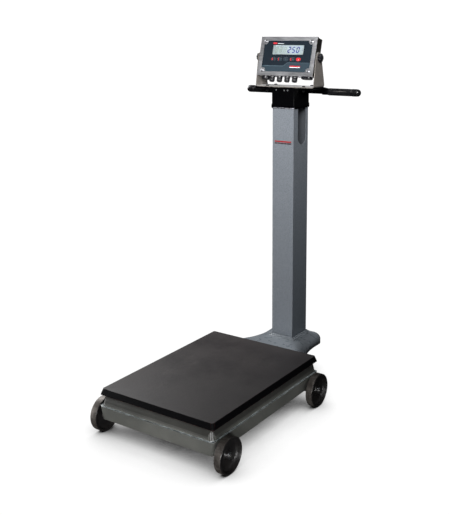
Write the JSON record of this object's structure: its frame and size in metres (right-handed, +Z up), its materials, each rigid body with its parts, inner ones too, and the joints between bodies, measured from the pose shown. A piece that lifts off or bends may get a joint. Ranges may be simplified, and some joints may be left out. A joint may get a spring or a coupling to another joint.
{
  "type": "platform scale",
  "caption": "Portable platform scale: cast base on wheels, deck hung on levers, tall column with load cell, push handle and tilting weight indicator.",
  "frame": {"origin": "on the floor, at the middle of the object's bounding box", "axes": "+Z up, +X to the right of someone facing the display, +Y from the deck towards the column; the display faces -Y"},
  "size_m": [0.578, 1.0208, 1.4007],
  "materials": {
    "frame_paint": "semi-gloss grey-olive enamel on cast iron",
    "foot_paint": "semi-gloss blue-grey enamel on cast iron",
    "column_paint": "hammertone silver-grey enamel on sheet steel",
    "deck_paint": "worn charcoal enamel on cast iron",
    "black_paint": "gloss black enamel",
    "lever_iron": "plain dark castings",
    "wheel_iron": "black enamel, tread worn bare",
    "plain_steel": "plain turned steel",
    "zinc": "bright zinc plate",
    "dark_bolts": "black oxide steel",
    "cell_alloy": "clear anodised alloy",
    "label_red": "printed film strip, plain",
    "black_grip": "smooth black grip rubber",
    "bracket_steel": "satin stainless sheet",
    "enclosure_steel": "brushed stainless sheet",
    "gasket_rubber": "black sponge rubber",
    "overlay_film": "dark slate printed film",
    "clear_window": "clear flat window",
    "lcd_panel": "pale grey-green display",
    "board_green": "green board with dark parts",
    "black_plastic": "black nylon",
    "key_red": "dark film key with red legend",
    "key_grey": "dark film key",
    "key_bright_red": "red film key"
  },
  "bodies": {
    "scale": {"base_frame": "frame_paint", "fulcrum_stands": "lever_iron", "stand_bolts": "dark_bolts", "overload_stops": "dark_bolts", "front_axle": "plain_steel", "rear_axle": "plain_steel", "axle_washers": "zinc", "split_pins": "zinc", "column_base": "foot_paint", "base_bolts": "dark_bolts", "column": "column_paint", "column_bolts": "dark_bolts", "column_label": "label_red", "column_cap": "black_paint", "cap_screws": "zinc", "load_cell": "cell_alloy", "load_cell_eye": "plain_steel", "hanger_bolt": "plain_steel", "mounting_plate": "black_paint", "plate_screws": "dark_bolts", "handle_ears": "black_paint", "handle_bar": "black_paint", "left_grip": "black_grip", "right_grip": "black_grip", "indicator_bracket": "bracket_steel", "bracket_bolts": "dark_bolts"},
    "front_left_wheel": {"front_left_wheel": "wheel_iron"},
    "front_right_wheel": {"front_right_wheel": "wheel_iron"},
    "rear_left_wheel": {"rear_left_wheel": "wheel_iron"},
    "rear_right_wheel": {"rear_right_wheel": "wheel_iron"},
    "platform": {"deck": "deck_paint", "deck_bearings": "lever_iron"},
    "long_lever": {"long_lever": "lever_iron", "long_lever_pivots": "plain_steel"},
    "short_lever": {"short_lever": "lever_iron", "short_lever_pivots": "plain_steel"},
    "centre_link": {"centre_link": "plain_steel"},
    "rod": {"steelyard_rod": "plain_steel", "rod_turnbuckle": "dark_bolts"},
    "indicator": {"indicator_shell": "enclosure_steel", "cover_gasket": "gasket_rubber", "indicator_cover": "enclosure_steel", "cover_screws": "zinc", "front_overlay": "overlay_film", "display_window": "clear_window", "display_module": "lcd_panel", "circuit_board": "board_green", "cord_grips": "black_plastic", "blanking_plugs": "black_plastic", "pivot_washers": "zinc"},
    "left_knob": {"left_knob": "black_plastic"},
    "right_knob": {"right_knob": "black_plastic"},
    "zero_key": {"zero_key": "key_red"},
    "tare_key": {"tare_key": "key_red"},
    "units_key": {"units_key": "key_grey"},
    "print_key": {"print_key": "key_red"},
    "power_key": {"power_key": "key_bright_red"}
  },
  "joints": [
    {"name": "front_left_wheel_spin", "type": "hinge", "parent": "scale", "child": "front_left_wheel", "pos_m": [-0.272, -0.4464, 0.064], "axis": [1, 0, 0], "continuous": true},
    {"name": "front_right_wheel_spin", "type": "hinge", "parent": "scale", "child": "front_right_wheel", "pos_m": [0.272, -0.4464, 0.064], "axis": [1, 0, 0], "continuous": true},
    {"name": "rear_left_wheel_spin", "type": "hinge", "parent": "scale", "child": "rear_left_wheel", "pos_m": [-0.272, 0.1536, 0.064], "axis": [1, 0, 0], "continuous": true},
    {"name": "rear_right_wheel_spin", "type": "hinge", "parent": "scale", "child": "rear_right_wheel", "pos_m": [0.272, 0.1536, 0.064], "axis": [1, 0, 0], "continuous": true},
    {"name": "platform_travel", "type": "slide", "parent": "scale", "child": "platform", "axis": [0, 0, 1], "range_m": [-0.00015, 0], "stiffness_N_per_m": 5000000, "springref_m": 0.0001},
    {"name": "long_lever_swing", "type": "hinge", "parent": "scale", "child": "long_lever", "pos_m": [0, -0.4464, 0.118], "axis": [1, 0, 0], "range_deg": [-0.15, 0]},
    {"name": "short_lever_swing", "type": "hinge", "parent": "scale", "child": "short_lever", "pos_m": [0, 0.1536, 0.118], "axis": [1, 0, 0], "range_deg": [0, 0.15]},
    {"name": "centre_link_travel", "type": "slide", "parent": "scale", "child": "centre_link", "axis": [0, 0, 1], "range_m": [-0.0008, 0]},
    {"name": "rod_travel", "type": "slide", "parent": "scale", "child": "rod", "axis": [0, 0, 1], "range_m": [-0.0022, 0]},
    {"name": "indicator_tilt", "type": "hinge", "parent": "scale", "child": "indicator", "pos_m": [0, 0.39269, 1.31926], "axis": [-1, 0, 0], "range_deg": [-30, 60]},
    {"name": "left_knob_turn", "type": "hinge", "parent": "indicator", "child": "left_knob", "pos_m": [-0.141, 0.39269, 1.31926], "axis": [-1, 0, 0], "continuous": true},
    {"name": "right_knob_turn", "type": "hinge", "parent": "indicator", "child": "right_knob", "pos_m": [0.141, 0.39269, 1.31926], "axis": [1, 0, 0], "continuous": true},
    {"name": "zero_key_press", "type": "slide", "parent": "indicator", "child": "zero_key", "axis": [0, 0.9659, -0.2588], "range_m": [0, 0.0005], "stiffness_N_per_m": 800},
    {"name": "tare_key_press", "type": "slide", "parent": "indicator", "child": "tare_key", "axis": [0, 0.9659, -0.2588], "range_m": [0, 0.0005], "stiffness_N_per_m": 800},
    {"name": "units_key_press", "type": "slide", "parent": "indicator", "child": "units_key", "axis": [0, 0.9659, -0.2588], "range_m": [0, 0.0005], "stiffness_N_per_m": 800},
    {"name": "print_key_press", "type": "slide", "parent": "indicator", "child": "print_key", "axis": [0, 0.9659, -0.2588], "range_m": [0, 0.0005], "stiffness_N_per_m": 800},
    {"name": "power_key_press", "type": "slide", "parent": "indicator", "child": "power_key", "axis": [0, 0.9659, -0.2588], "range_m": [0, 0.0005], "stiffness_N_per_m": 800}
  ],
  "couplings": [
    {"joint": "long_lever_swing", "follows": "platform_travel", "rad_per_m": 16.667},
    {"joint": "short_lever_swing", "follows": "platform_travel", "rad_per_m": -16.667},
    {"joint": "centre_link_travel", "follows": "platform_travel", "ratio": 5},
    {"joint": "rod_travel", "follows": "platform_travel", "ratio": 14.175}
  ]
}
